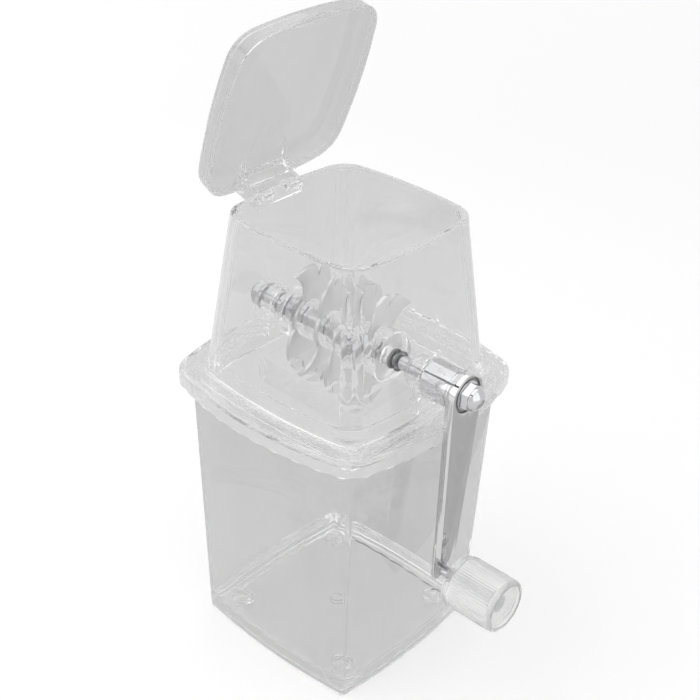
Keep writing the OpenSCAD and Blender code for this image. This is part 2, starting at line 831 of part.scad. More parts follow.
module knob() {
    r = knob_d / 2 - rib_stand;
    core_r = knob_pin_d / 2 + core_wall;
    color(clear) on_knob()
        difference() {
            union() {
                rotate([0, 90, 0]) rotate_extrude($fn = 64)
                    difference() {
                        union() {
                            translate([0, knob_x0 + neck_r])
                                square([r, knob_l - neck_r - end_round]);
                            translate([0, knob_x0]) square([r - neck_r, neck_r]);
                            translate([r - neck_r, knob_x0 + neck_r]) circle(r = neck_r);
                            translate([0, knob_x1 - end_round]) square([r - end_round, end_round]);
                            translate([r - end_round, knob_x1 - end_round]) circle(r = end_round);
                        }
                        // the hollow round the core, and the seat of the end cap
                        translate([core_r, knob_x0 + neck_r - 0.5])
                            square([r - knob_wall - core_r, knob_l]);
                        translate([0, core_x1]) square([r - knob_wall, knob_l]);
                    }
                plate_x(knob_x0 + neck_r + 0.5, knob_l - neck_r - end_round - 1.5)
                    for (i = [0:knob_ribs - 1])
                        rotate(i * 360 / knob_ribs)
                            translate([knob_d / 2 - knob_rib_r, 0]) circle(r = knob_rib_r, $fn = 16);
            }
            rod(knob_x0 - 1, knob_x1, knob_pin_d + 2 * run_gap);
        }
}

module knob_cap() {
    r = knob_d / 2 - rib_stand - knob_wall - run_gap;
    color(clear) on_knob()
        difference() {
            rod(knob_x1 - cap_set - cap_t, knob_x1 - cap_set, 2 * r);
            rod(knob_x1 - cap_set - cap_t / 3, knob_x1, 2 * (r - cap_rim));
        }
}

bin();
feet();
hopper();
breaker_grate();
lid();
hinge_pins();
bush_left();
bush_right();
shaft();
blade_1();
blade_2();
blade_3();
blade_4();
spacer_1();
spacer_2();
spacer_3();
disc_left();
disc_right();
inner_tube();
o_rings();
washer_left();
cap_nut_left();
crank_sleeve();
crank_arm();
crank_washer();
crank_cap_nut();
knob_pin();
knob();
knob_cap();
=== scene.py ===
"""The looks of a clear hand cranked ice crusher: a bin, a hopper with a hinged lid, a rotor
of steel claws and a chrome crank. The model is in metres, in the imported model's own frame.
The sizes of the part are in millimetres. They repeat those of the construction, apart from small
trim that it leaves out, and from the corners of the bin and flange."""

import json
from math import atan2, cos, pi, radians, sin, sqrt

import bmesh
import bpy
from mathutils import Matrix, Vector


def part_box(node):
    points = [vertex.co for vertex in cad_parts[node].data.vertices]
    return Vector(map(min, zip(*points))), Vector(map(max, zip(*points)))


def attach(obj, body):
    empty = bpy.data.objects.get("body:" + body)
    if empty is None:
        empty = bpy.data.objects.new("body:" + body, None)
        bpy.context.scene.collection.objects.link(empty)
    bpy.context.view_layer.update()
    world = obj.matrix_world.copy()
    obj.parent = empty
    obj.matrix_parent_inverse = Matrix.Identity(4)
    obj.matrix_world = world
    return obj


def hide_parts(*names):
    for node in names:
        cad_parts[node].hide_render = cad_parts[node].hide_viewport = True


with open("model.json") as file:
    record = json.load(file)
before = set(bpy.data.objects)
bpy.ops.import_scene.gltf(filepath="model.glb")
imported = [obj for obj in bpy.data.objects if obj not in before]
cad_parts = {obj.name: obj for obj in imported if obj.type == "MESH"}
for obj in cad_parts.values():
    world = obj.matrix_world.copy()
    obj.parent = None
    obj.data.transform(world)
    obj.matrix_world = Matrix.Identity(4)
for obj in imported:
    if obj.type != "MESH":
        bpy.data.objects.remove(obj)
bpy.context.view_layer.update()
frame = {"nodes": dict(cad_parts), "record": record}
nodes = frame["nodes"]

MM = 0.001

# The photograph's camera, as it was fitted to the outlines of the bin, hopper and lid
CAMERA_AZIMUTH = radians(41.73)
CAMERA_ELEVATION = radians(31.92)
CAMERA_ROLL = radians(1.88)
CAMERA_DISTANCE = 0.66169
CAMERA_TARGET = Vector((0.00161, 0.00144, 0.16298))
CAMERA_LENS = 70.46
SENSOR_WIDTH = 36.0

# The bin
BIN_TOP_W, BIN_BASE_W, BIN_H = 114, 105, 151.2
BIN_SIDE_R, BIN_CORNER_R = 339, 3
WALL = 2.5
BASE_RECESS = 3
FLOOR_FILLET = 6
FLOOR_CORNER_R = 8
LIP_OUT, LIP_T = 6.4, 2.4
FOOT_D, FOOT_PITCH = 12.4, 71.2
FOOT_RIBS = 14
FOOT_SIDES = ((-1, -1), (-1, 1), (1, -1), (1, 1))
GATE_D, GATE_DROP, GATE_ROUND = 7, 1, 1.5
EDGE_UP = 0.6
FLOOR_STEP_IN, FLOOR_STEP_LONG = 0.5, 6
MARK_RISE, MARK_TIP = 0.6, 0.4

# The small bump in the middle of the bin's floor: radius, height over the floor, and rounding
BUMP = (
    (3.7, 0, 0.2), (3.2, 0.8, 0.3), (2.5, 0.8, 0.3), (2.1, 0.1, 0.2), (1.3, 0.1, 0.2),
    (0.9, 0.9, 0.3), (0.3, 1, 0),
)

# The hopper
HOPPER_BASE_W, HOPPER_TOP_W, HOPPER_H = 109.4, 89, 82.6
HOPPER_SIDE_R, HOPPER_CORNER_R = 224, 14
CORNER_THICKENING = 3
PILLAR_W, PILLAR_IN = 9, 4.9
PILLAR_FOOT, PILLAR_FULL, PILLAR_TOP = 3, 12, 1.2
GROOVE_W, GROOVE_D = 3.4, 0.6
SKIRT_ROOM, SKIRT_T, SKIRT_DEPTH = 2.05, 2.3, 8.5
SKIRT_WAVE_UP, SKIRT_WAVE_LONG = 1, 12
FLANGE_SIDE_R, FLANGE_CORNER_R = 185, 15
COLLAR_DEPTH, COLLAR_T = 7, 2
SNAP_IN, SNAP_H = 0.8, 1.2
SEAT_GAP, RUN_GAP, SLIP_GAP, PRESS_GAP = 0.3, 0.05, 0.1, 0.01
FLANGE_Z = BIN_H + SEAT_GAP + WALL
MOUTH_Z = FLANGE_Z + HOPPER_H
SHAFT_Z = FLANGE_Z + 18

# The bosses of the shaft's bushes
JOURNAL_D = 7
BUSH_D = JOURNAL_D + 4
BOSS_D = BUSH_D + 5
BOSS_L = 7.5
SPOT_STAND = 0.5
SPOT_D = 20.6
RIB_W, RIB_T = 4, 2

# The lid, as it lies closed, and its hinge
LID_OVERHANG, LID_H, LID_WALL = 1.4, 10.2, 2.2
LID_ROUND, LID_ROUND_IN = 4, 2.4
LID_OPEN = radians(71)
HINGE_W, HINGE_DROP, PIN_D = 30, 4, 2
KNUCKLE_R = PIN_D / 2 + 1.3
CHEEK_T, CHEEK_GAP = 2.4, 0.3
EAR_IN_Y = 5
TAB_T, TAB_ROOM, TAB_BELOW = 2, 1, 3
GUSSET_IN = 9
THUMB_W, THUMB_OUT, THUMB_R = 28, 1.2, 40

# The crank and the knob
CRANK_L, CRANK_LEAN = 100, radians(3.3)
ARM_CLEAR, SHEET_T = 2.63, 1.5
KNOB_D, KNOB_L, KNOB_GAP, KNOB_PIN_D = 27.4, 31, 8.6, 5
KNOB_RIBS, RIB_STAND = 60, 0.16
KNOB_WALL, CORE_WALL, NECK_R, END_ROUND = 2.4, 2.2, 5, 2
CAP_T, CAP_SET, PIN_HEAD_T, HEAD_ROOM = 1.6, 1.8, 2.6, 1.6
RING_D, RING_T = 10.2, 1.2

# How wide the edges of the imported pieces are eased
CLAW_EASE, NUT_EASE, DISC_EASE, ARM_EASE = 0.2, 0.2, 0.7, 0.8
CREASE = 40


def make_camera():
    """The camera, with its azimuth 0 looking along +Y."""
    az, el, roll = CAMERA_AZIMUTH, CAMERA_ELEVATION, CAMERA_ROLL
    back = Vector((sin(az) * cos(el), -cos(az) * cos(el), sin(el)))
    right = Vector((cos(az), sin(az), 0))
    up = back.cross(right)
    rolled_right = right * cos(roll) + up * sin(roll)
    rolled_up = up * cos(roll) - right * sin(roll)
    turn = Matrix((rolled_right, rolled_up, back)).transposed()
    data = bpy.data.cameras.new("camera")
    data.lens = CAMERA_LENS
    data.sensor_width = SENSOR_WIDTH
    data.clip_start = 0.01
    camera = bpy.data.objects.new("camera", data)
    camera.matrix_world = Matrix.Translation(CAMERA_TARGET + back * CAMERA_DISTANCE) @ turn.to_4x4()
    bpy.context.scene.collection.objects.link(camera)
    bpy.context.scene.camera = camera


# Meshes


def steps(start, stop, count):
    """Evenly spaced values from start to stop, both included."""
    return [start + (stop - start) * i / count for i in range(count + 1)]


SIDE_STEPS = 60
CORNER_STEPS = 20


def outline(half, side_r, corner_r):
    """A closed outline with four bulged sides and round corners, anticlockwise from above."""
    d = side_r - half
    t = (sqrt(2 * (side_r - corner_r) ** 2 - d * d) - d) / 2
    phi = atan2(t, t + d)
    points = [(side_r * cos(a) - d, side_r * sin(a)) for a in steps(-phi, phi, SIDE_STEPS)]
    for a in steps(phi, pi / 2 - phi, CORNER_STEPS)[1:-1]:
        points.append((t + corner_r * cos(a), t + corner_r * sin(a)))
    whole = []
    for _ in range(4):
        whole += points
        points = [(-y, x) for x, y in points]
    return whole


def section(half, z, side_r, corner_r):
    """A ring of a loft: half width, height, and the radii of its sides and corners."""
    return [Vector((x, y, z)) for x, y in outline(half, side_r, corner_r)]


def bin_half(z):
    return (BIN_BASE_W + (BIN_TOP_W - BIN_BASE_W) * z / BIN_H) / 2


def hopper_half(z):
    return HOPPER_BASE_W / 2 - (HOPPER_BASE_W - HOPPER_TOP_W) / 2 / HOPPER_H * (z - FLANGE_Z)


LIP_HALF = bin_half(BIN_H) + LIP_OUT
FLANGE_HALF = LIP_HALF + SKIRT_ROOM + SKIRT_T
COLLAR_HALF = bin_half(BIN_H - COLLAR_DEPTH) - WALL - SEAT_GAP
BOSS_FACE = hopper_half(SHAFT_Z) + SPOT_STAND
HINGE_Z = MOUTH_Z - HINGE_DROP
HINGE_X = -hopper_half(HINGE_Z) - KNUCKLE_R - CHEEK_GAP
ARM_X = FLANGE_HALF + ARM_CLEAR
LID_Z0 = MOUTH_Z + SEAT_GAP
LID_OUT = HOPPER_TOP_W / 2 + LID_OVERHANG
LID_TAB_IN = HINGE_X - KNUCKLE_R - TAB_ROOM
LID_CEILING = LID_Z0 + LID_H - LID_WALL


def bin_ring(half, z):
    return section(half, z, BIN_SIDE_R, max(1, BIN_CORNER_R + half - bin_half(z)))


def floor_ring(inset, z):
    return section(bin_half(z) - WALL - inset, z, BIN_SIDE_R, FLOOR_CORNER_R)


def hopper_ring(inset, z, extra_r=0):
    return section(
        hopper_half(z) - inset, z, HOPPER_SIDE_R - inset, HOPPER_CORNER_R - inset + extra_r
    )


def flange_ring(inset, z):
    return section(FLANGE_HALF - inset, z, FLANGE_SIDE_R - inset, FLANGE_CORNER_R - inset / 2)


def lid_ring(inset, z):
    corner_r = HOPPER_CORNER_R + LID_OVERHANG - inset
    return section(LID_OUT - inset, z, HOPPER_SIDE_R - inset, corner_r)


def round_ring(like, r, z):
    """A circle whose points lie in the same directions as those of another ring."""
    return [Vector((p.x, p.y, 0)).normalized() * r + Vector((0, 0, z)) for p in like]


def lengths_along(ring):
    """How far each point lies along a ring, and last the length of the whole ring."""
    path = [0.0]
    for a, b in zip(ring, ring[1:] + ring[:1]):
        path.append(path[-1] + (b - a).length)
    return path


def waved(ring):
    """A ring whose points rise and fall along it."""
    path = lengths_along(ring)
    turns = round(path[-1] / SKIRT_WAVE_LONG)
    made = []
    for p, s in zip(ring, path):
        wave = 0.5 - 0.5 * cos(2 * pi * turns * s / path[-1])
        made.append(p + Vector((0, 0, SKIRT_WAVE_UP * wave)))
    return made


def stepped(ring):
    """A ring that steps in and out along it."""
    path = lengths_along(ring)
    turns = round(path[-1] / FLOOR_STEP_LONG / 2)
    made = []
    for p, s in zip(ring, path):
        inward = -Vector((p.x, p.y, 0)).normalized()
        wave = 0.5 + 0.5 * sin(2 * pi * turns * s / path[-1])
        made.append(p + inward * FLOOR_STEP_IN * wave**2)
    return made


def rounded(rings, fine=5):
    """Rounds the edges of a loft. Each item is a ring and how far from its edge the rounding
    starts, or 0 for a crisp edge, as an open loft has at its first and last ring."""
    made = []
    for k, (ring, cut) in enumerate(rings):
        if not cut:
            made.append(ring)
            continue
        before, after = rings[k - 1][0], rings[(k + 1) % len(rings)][0]
        lanes = [[] for _ in range(fine + 3)]
        for a, p, b in zip(before, ring, after):
            back, on = a - p, b - p
            cut_a, cut_b = min(cut, back.length * 0.4), min(cut, on.length * 0.4)
            start, stop = p + back.normalized() * cut_a, p + on.normalized() * cut_b
            lanes[0].append(p + back.normalized() * cut_a * 1.2)
            for lane, t in zip(lanes[1:], steps(0, 1, fine)):
                lane.append(start * (1 - t) ** 2 + p * 2 * t * (1 - t) + stop * t * t)
            lanes[-1].append(p + on.normalized() * cut_b * 1.2)
        made += lanes
    return made


def shade(ob, limit=32):
    """Smooth shading, with crisp edges where faces meet at more than an angle in degrees."""
    made = bmesh.new()
    made.from_mesh(ob.data)
    for face in made.faces:
        face.smooth = True
    for edge in made.edges:
        edge.smooth = len(edge.link_faces) == 2 and edge.calc_face_angle(0) < radians(limit)
    made.to_mesh(ob.data)
    made.free()
    return ob


def add_object(name, mesh):
    ob = bpy.data.objects.new(name, mesh)
    bpy.context.scene.collection.objects.link(ob)
    return ob


def solid_object(name, points, faces):
    """An object from points in millimetres, with its faces turned outward."""
    mesh = bpy.data.meshes.new(name)
    mesh.from_pydata([p * MM for p in points], [], faces)
    made = bmesh.new()
    made.from_mesh(mesh)
    bmesh.ops.recalc_face_normals(made, faces=made.faces)
    made.to_mesh(mesh)
    made.free()
    return add_object(name, mesh)


def joined(pieces):
    """Several objects made one, under the first one's name."""
    bpy.ops.object.select_all(action="DESELECT")
    for piece in pieces:
        piece.select_set(True)
    bpy.context.view_layer.objects.active = pieces[0]
    bpy.ops.object.join()
    return pieces[0]


def loft(name, rings, closed=False):
    """A solid through rings, with flat ends, or a closed wall that runs round its rings."""
    n = len(rings[0])
    count = len(rings)
    faces = []
    for k in range(count if closed else count - 1):
        a, b = k * n, (k + 1) % count * n
        faces += [(a + i, a + (i + 1) % n, b + (i + 1) % n, b + i) for i in range(n)]
    if not closed:
        faces.append(tuple(range(n - 1, -1, -1)))
        faces.append(tuple(range((count - 1) * n, count * n)))
    return solid_object(name, [p for ring in rings for p in ring], faces)


def turned(name, profile, count=96, closed=False):
    """A solid turned round X, from its stations along X and its radii."""
    rings = []
    for x, r in profile:
        ring = [(r * cos(a), r * sin(a)) for a in steps(0, 2 * pi, count)[:-1]]
        rings.append([Vector((x, y, z)) for y, z in ring])
    return loft(name, rings, closed)


def eased(low, high, r, ease):
    """The profile of a round bar whose end edges are eased."""
    return [(low, r - ease), (low + ease, r), (high - ease, r), (high, r - ease)]


def block(name, low, high, round_r):
    """A box from its lowest to its highest corner, with rounded edges."""
    low, high = Vector(low), Vector(high)
    made = bmesh.new()
    bmesh.ops.create_cube(made, size=1)
    for v in made.verts:
        v.co = Vector([a + (b - a) * (c + 0.5) for a, b, c in zip(low, high, v.co)])
    edges = made.edges
    bmesh.ops.bevel(made, geom=edges, offset=round_r, segments=3, profile=0.5, affect="EDGES")
    for v in made.verts:
        v.co *= MM
    mesh = bpy.data.meshes.new(name)
    made.to_mesh(mesh)
    made.free()
    return add_object(name, mesh)


def wedge(name, corners, low_y, high_y):
    """A flat shape in X and Z, given width along Y."""
    n = len(corners)
    points = [Vector((x, y, z)) for y in (low_y, high_y) for x, z in corners]
    faces = [tuple(range(n)), tuple(range(2 * n - 1, n - 1, -1))]
    faces += [(i, i + n, (i + 1) % n + n, (i + 1) % n) for i in range(n)]
    return solid_object(name, points, faces)


def placed(ob, matrix):
    """Moves a mesh by a matrix in millimetres."""
    in_metres = matrix.copy()
    in_metres.translation *= MM
    ob.data.transform(in_metres)
    if in_metres.determinant() < 0:
        ob.data.flip_normals()
    return ob


def combine(ob, others, operation):
    """Joins other closed solids to one, or cuts them out of it. The others are used up."""
    for other in others:
        modifier = ob.modifiers.new("combine", "BOOLEAN")
        modifier.object = other
        modifier.operation = operation
        modifier.solver = "MANIFOLD"
    graph = bpy.context.evaluated_depsgraph_get()
    mesh = bpy.data.meshes.new_from_object(ob.evaluated_get(graph))
    ob.modifiers.clear()
    ob.data = mesh
    for other in others:
        bpy.data.objects.remove(other)
    return ob


ABOUT_X = Matrix.Rotation(-CRANK_LEAN, 4, "X")
ON_SHAFT = Matrix.Translation((0, 0, SHAFT_Z)) @ ABOUT_X
ON_KNOB = ON_SHAFT @ Matrix.Translation((ARM_X + SHEET_T, 0, -CRANK_L))
FACING_Y = Matrix.Rotation(pi / 2, 4, "Z")
MIRROR_X = Matrix.Scale(-1, 4, (1, 0, 0))
MIRROR_Y = Matrix.Scale(-1, 4, (0, 1, 0))


def along_y(name, x, z, r, low_y, high_y, ease=0.3):
    """A pin or knuckle that lies along Y, with its ends eased."""
    ob = turned(name, eased(low_y, high_y, r, ease), count=48)
    return placed(ob, Matrix.Translation((x, 0, z)) @ FACING_Y)


# The clear shells


def make_bin():
    """The bin, from the middle under its floor, out and up the walls, and down to the floor."""
    under = BASE_RECESS
    floor = BASE_RECESS + WALL
    lip_under = BIN_H - LIP_T
    foot_half = bin_half(0) - WALL
    like = bin_ring(foot_half, under)
    rings = [
        (round_ring(like, GATE_D / 2 - GATE_ROUND, under - GATE_DROP), 0),
        (round_ring(like, GATE_D / 2, under - GATE_DROP), 0.4),
        (round_ring(like, GATE_D / 2, under), 0.3),
        (bin_ring(bin_half(under) - WALL - 0.4, under), 1),
        (bin_ring(foot_half, EDGE_UP), 0.5),
        (bin_ring(bin_half(EDGE_UP), EDGE_UP), 1),
        (bin_ring(bin_half(lip_under), lip_under), 1.2),
        (flange_ring(FLANGE_HALF - LIP_HALF, lip_under + 0.2), 0.5),
        (flange_ring(FLANGE_HALF - LIP_HALF, BIN_H), 0.5),
        (bin_ring(bin_half(BIN_H) - WALL, BIN_H), 0.6),
        (bin_ring(bin_half(floor + FLOOR_FILLET) - WALL, floor + FLOOR_FILLET), 0.6),
        (floor_ring(FLOOR_FILLET * 0.7, floor + 1.2), 0.7),
        (stepped(floor_ring(FLOOR_FILLET * 1.2, floor + 0.5)), 0.3),
        (stepped(floor_ring(FLOOR_FILLET * 1.32, floor)), 0.3),
    ]
    rings += [(round_ring(like, r, floor + up), cut) for r, up, cut in BUMP]
    shell = loft("clear_bin", rounded(rings))
    combine(shell, [foot_mark(sx, sy, floor) for sx, sy in FOOT_SIDES], "UNION")
    return shade(shell)


def foot_mark(sx, sy, floor):
    """Two low round ridges on the floor over one foot, with a shallow groove between them."""
    r = FOOT_D / 2
    low, groove, high = floor - 0.5, floor + 0.1, floor + MARK_RISE
    hoop = [(low, r), (high, r), (high + MARK_TIP, r - 0.5), (high, r - 1), (groove, r - 1.3)]
    hoop += [(groove, r - 2.2), (high, r - 2.4), (high + MARK_TIP / 2, r - 2.8)]
    hoop += [(high, r - 3.2), (low, r - 3.3)]
    mark = turned("foot_mark", hoop, count=64, closed=True)
    upright = Matrix.Rotation(-pi / 2, 4, "Y")
    return placed(mark, Matrix.Translation((sx * FOOT_PITCH / 2, sy * FOOT_PITCH / 2, 0)) @ upright)


def hopper_shell():
    """The hopper's wall, flange, skirt and collar, swept round from the collar's foot."""
    under = FLANGE_Z - WALL
    skirt_z = FLANGE_Z - SKIRT_DEPTH
    collar_z = under - COLLAR_DEPTH
    inner = COLLAR_HALF - COLLAR_T
    rings = [
        (bin_ring(COLLAR_HALF, collar_z), 0.6),
        (bin_ring(COLLAR_HALF, under), 0.8),
        (flange_ring(SKIRT_T, under), 0.8),
        (flange_ring(SKIRT_T - 0.2, skirt_z), 0.6),
        (waved(flange_ring(0, skirt_z)), 0.8),
        (flange_ring(0, FLANGE_Z), 2.1),
        (hopper_ring(0, FLANGE_Z), 1.6),
        (hopper_ring(0, MOUTH_Z), 1),
        (hopper_ring(WALL, MOUTH_Z, CORNER_THICKENING), 1),
        (hopper_ring(WALL, FLANGE_Z + 2, CORNER_THICKENING), 1.2),
        (bin_ring(inner, FLANGE_Z - 1), 0.8),
        (bin_ring(inner, collar_z + SNAP_H), 0),
        (bin_ring(inner - SNAP_IN, collar_z + SNAP_H), 0.3),
        (bin_ring(inner - SNAP_IN, collar_z), 0.3),
    ]
    return loft("clear_hopper", rounded(rings), closed=True)


def bearing_boss():
    """The pieces of one boss on the crank's side: its body, its spot face and its two ribs."""
    inside = BOSS_FACE - WALL - BOSS_L
    lift = Matrix.Translation((0, 0, SHAFT_Z))
    boss_r, spot_r = BOSS_D / 2, SPOT_D / 2
    spot_back, spot_edge = BOSS_FACE - WALL - SPOT_STAND, BOSS_FACE - 0.3
    body = turned("boss", [(inside, boss_r - 0.6), (inside + 0.6, boss_r), (BOSS_FACE - 1, boss_r)])
    spot = turned("spot", [(spot_back, spot_r), (spot_edge, spot_r), (BOSS_FACE, spot_r - 0.3)])
    pieces = [placed(body, lift), placed(spot, lift)]
    x0 = BOSS_FACE - WALL - RIB_W
    for y in (-boss_r + 1, boss_r - 1 - RIB_T):
        low, high = (x0, y, FLANGE_Z - 1), (x0 + RIB_W, y + RIB_T, SHAFT_Z - 1)
        pieces.append(block("rib", low, high, 0.3))
    return pieces


def hinge_ear():
    """The pieces of one ear that holds a pin of the lid."""
    y0, y1 = EAR_IN_Y, HINGE_W / 2 - CHEEK_T - CHEEK_GAP
    in_wall = -hopper_half(HINGE_Z) + WALL * 0.56
    return [
        along_y("knuckle", HINGE_X, HINGE_Z, KNUCKLE_R, y0, y1),
        block("ear", (HINGE_X, y0, HINGE_Z - KNUCKLE_R), (in_wall, y1, HINGE_Z + KNUCKLE_R), 0.3),
    ]


def corner_reach(z):
    """How far the middle of the hopper's wall lies from the axis at a corner."""
    return max(Vector((p.x, p.y)).length for p in hopper_ring(WALL / 2, z))


def corner_pillars():
    """Four upright bars inside the hopper's corners, which fade out over the flange. Each has a
    shallow groove down its middle."""
    foot, full, top = FLANGE_Z + PILLAR_FOOT, FLANGE_Z + PILLAR_FULL, MOUTH_Z - PILLAR_TOP
    bars = []
    for k in range(4):
        along = Vector((cos(pi / 4 + k * pi / 2), sin(pi / 4 + k * pi / 2), 0))
        across = Vector((-along.y, along.x, 0))
        rings = []
        for z, stand in ((foot, 0.2), (full, 1), (top, 1)):
            reach = corner_reach(z)
            face = reach - PILLAR_IN * stand
            shape = [
                (reach, -PILLAR_W / 2), (reach, PILLAR_W / 2), (face, PILLAR_W / 2),
                (face, GROOVE_W / 2), (face + GROOVE_D * stand, 0), (face, -GROOVE_W / 2),
                (face, -PILLAR_W / 2),
            ]
            rings.append([along * u + across * v + Vector((0, 0, z)) for u, v in shape])
        bars.append(loft("pillar", rings))
    return bars


def pin_bore(r):
    """The way of the hinge pins, to be cut out."""
    return along_y("pin_bore", HINGE_X, HINGE_Z, r, -HINGE_W, HINGE_W, 0.01)


def both_ways(make, matrix):
    """What a function makes, and the same mirrored."""
    return make() + [placed(ob, matrix) for ob in make()]


def make_hopper():
    """The shell with its bosses and ears, bored for the bushes and the hinge pins."""
    shell = hopper_shell()
    adds = both_ways(bearing_boss, MIRROR_X) + both_ways(hinge_ear, MIRROR_Y) + corner_pillars()
    combine(shell, adds, "UNION")
    lift = Matrix.Translation((0, 0, SHAFT_Z))
    inside = BOSS_FACE - 2 * (WALL + BOSS_L)
    bore_r, spot_r = BUSH_D / 2 + SLIP_GAP, SPOT_D / 2
    cuts = []
    for side in (Matrix.Identity(4), MIRROR_X):
        bore = turned("bore", [(inside, bore_r), (BOSS_FACE + 1, bore_r)])
        face = turned("face", [(BOSS_FACE, spot_r), (BOSS_FACE + 2 * WALL, spot_r)])
        cuts += [placed(ob, side @ lift) for ob in (bore, face)]
    cuts.append(pin_bore(PIN_D / 2 + RUN_GAP))
    combine(shell, cuts, "DIFFERENCE")
    return shade(shell)


def lid_shell():
    """The dished lid, from the middle of its top, down its skirt and up to its ceiling."""
    top = LID_Z0 + LID_H
    like = lid_ring(LID_WALL, top)
    rings = [
        (round_ring(like, 8, top), 0),
        (lid_ring(0.8, top), LID_ROUND),
        (lid_ring(0, LID_Z0), 0.6),
        (lid_ring(LID_WALL - 0.9, LID_Z0), 0.4),
        (lid_ring(LID_WALL - 0.8, LID_Z0 + 2.4), 0.3),
        (lid_ring(LID_WALL, LID_Z0 + 2.6), 0.3),
        (lid_ring(LID_WALL, LID_CEILING), LID_ROUND_IN),
        (round_ring(like, 8, LID_CEILING), 0),
    ]
    return loft("clear_lid", rounded(rings, fine=7))


def thumb_lip():
    """A shallow round lip on the rim, opposite the hinge."""
    lip = turned("lip", eased(LID_Z0, LID_Z0 + LID_WALL, THUMB_R, 0.4), count=256)
    out = LID_OUT + THUMB_OUT - THUMB_R
    placed(lip, Matrix.Translation((out, 0, 0)) @ Matrix.Rotation(-pi / 2, 4, "Y"))
    low = (LID_OUT - THUMB_W / 2, -THUMB_W / 2, LID_Z0 - 1)
    trim = block("trim", low, (LID_OUT + 5, THUMB_W / 2, LID_Z0 + 5), 0.6)
    return combine(lip, [trim], "INTERSECT")


def lid_hollows():
    """The hollow of the dish, and the one inside the box of the hinge."""
    dish = loft("hollow", rounded([
        (lid_ring(LID_WALL, LID_Z0 - 1), 0),
        (lid_ring(LID_WALL, LID_CEILING), LID_ROUND_IN),
        (lid_ring(LID_WALL + 12, LID_CEILING), 0),
    ], fine=7))
    inside = HINGE_W / 2 - CHEEK_T
    low = (LID_TAB_IN, -inside, LID_Z0 - 1)
    box = block("box_hollow", low, (-LID_OUT + 0.2, inside, LID_CEILING - 1), 0.4)
    return [dish, box]


def hinge_cheek(y):
    """The pieces of one cheek, which holds a pin outside the hopper's ear, and the gusset inside
    the dish over it."""
    y1 = y + CHEEK_T
    in_tab = LID_TAB_IN - 0.5
    under, over = HINGE_Z - KNUCKLE_R, HINGE_Z + KNUCKLE_R
    wall_x = -LID_OUT + LID_WALL - 0.5
    top = LID_CEILING + 0.5
    return [
        along_y("cheek_knuckle", HINGE_X, HINGE_Z, KNUCKLE_R, y, y1),
        block("cheek_low", (in_tab, y, under), (HINGE_X, y1, over), 0.3),
        block("cheek_high", (in_tab, y, HINGE_Z), (HINGE_X + KNUCKLE_R, y1, LID_Z0 + 1), 0.3),
        wedge("gusset", [(wall_x, LID_Z0 + 3), (wall_x, top), (wall_x + GUSSET_IN, top)], y, y1),
    ]


def make_lid():
    """The lid with its hinge box, cheeks and thumb lip, turned to where it stands open."""
    half = HINGE_W / 2
    box_x, box_top = LID_TAB_IN - TAB_T, LID_Z0 + LID_H - 0.6
    shell = lid_shell()
    box = block("box", (box_x, -half, LID_Z0), (-LID_OUT + 3, half, box_top), 0.8)
    combine(shell, [box, thumb_lip()], "UNION")
    combine(shell, lid_hollows(), "DIFFERENCE")
    tab = block("tab", (box_x, -half, HINGE_Z - TAB_BELOW), (LID_TAB_IN, half, LID_Z0 + 1), 0.5)
    combine(shell, [tab] + hinge_cheek(-half) + hinge_cheek(half - CHEEK_T), "UNION")
    combine(shell, [pin_bore(PIN_D / 2 + PRESS_GAP)], "DIFFERENCE")
    at_hinge = Matrix.Translation((HINGE_X, 0, HINGE_Z))
    placed(shell, at_hinge @ Matrix.Rotation(-LID_OPEN, 4, "Y") @ at_hinge.inverted())
    return shade(shell)


# The knob, feet and rings


def knob_ring(x, r, rib=0.0):
    """A ring of the knob, with its fine ribs standing out by a height."""
    ring = []
    for a in steps(0, 2 * pi, KNOB_RIBS * 8)[:-1]:
        wave = (0.5 + 0.5 * cos(KNOB_RIBS * a)) ** 2
        at = r + rib * wave
        ring.append(Vector((x, at * cos(a), at * sin(a))))
    return ring


def make_knob():
    """The knob's ribbed shell and the core on its pin, turned in one piece."""
    r = KNOB_D / 2 - RIB_STAND
    x0, x1 = KNOB_GAP, KNOB_GAP + KNOB_L
    core_r = KNOB_PIN_D / 2 + CORE_WALL
    core_x1 = x1 - CAP_SET - CAP_T - PIN_HEAD_T - HEAD_ROOM
    bore_r = KNOB_PIN_D / 2 + RUN_GAP
    inside = r - KNOB_WALL
    rings = [(knob_ring(x0, bore_r), 0.3)]
    for a in steps(0, pi / 2, 10):
        rings.append((knob_ring(x0 + NECK_R * (1 - cos(a)), r - NECK_R * (1 - sin(a))), 0))
    rib_0, rib_1 = x0 + NECK_R + 0.3, x1 - END_ROUND - 0.9
    rings += [(knob_ring(rib_0, r), 0), (knob_ring(rib_0 + 0.8, r, RIB_STAND), 0)]
    rings += [(knob_ring(rib_1 - 0.8, r, RIB_STAND), 0), (knob_ring(rib_1, r), 0)]
    for a in steps(0, pi / 2, 6):
        rings.append((knob_ring(x1 - END_ROUND * (1 - sin(a)), r - END_ROUND * (1 - cos(a))), 0))
    rings += [
        (knob_ring(x1, inside), 0.3),
        (knob_ring(x0 + NECK_R - 0.5, inside), 1.5),
        (knob_ring(x0 + NECK_R - 0.5, core_r), 1),
        (knob_ring(core_x1, core_r), 0.4),
        (knob_ring(core_x1, bore_r), 0.3),
    ]
    knob = loft("clear_knob", rounded(rings), closed=True)
    return shade(placed(knob, ON_KNOB))


def foot_ring(middle, z, r, rib):
    """A ring of a foot, whose short ribs stand inward by a height."""
    ring = []
    for a in steps(0, 2 * pi, FOOT_RIBS * 8)[:-1]:
        at = r - rib * (0.5 + 0.5 * cos(FOOT_RIBS * a)) ** 3
        ring.append(middle + Vector((at * cos(a), at * sin(a), z)))
    return ring


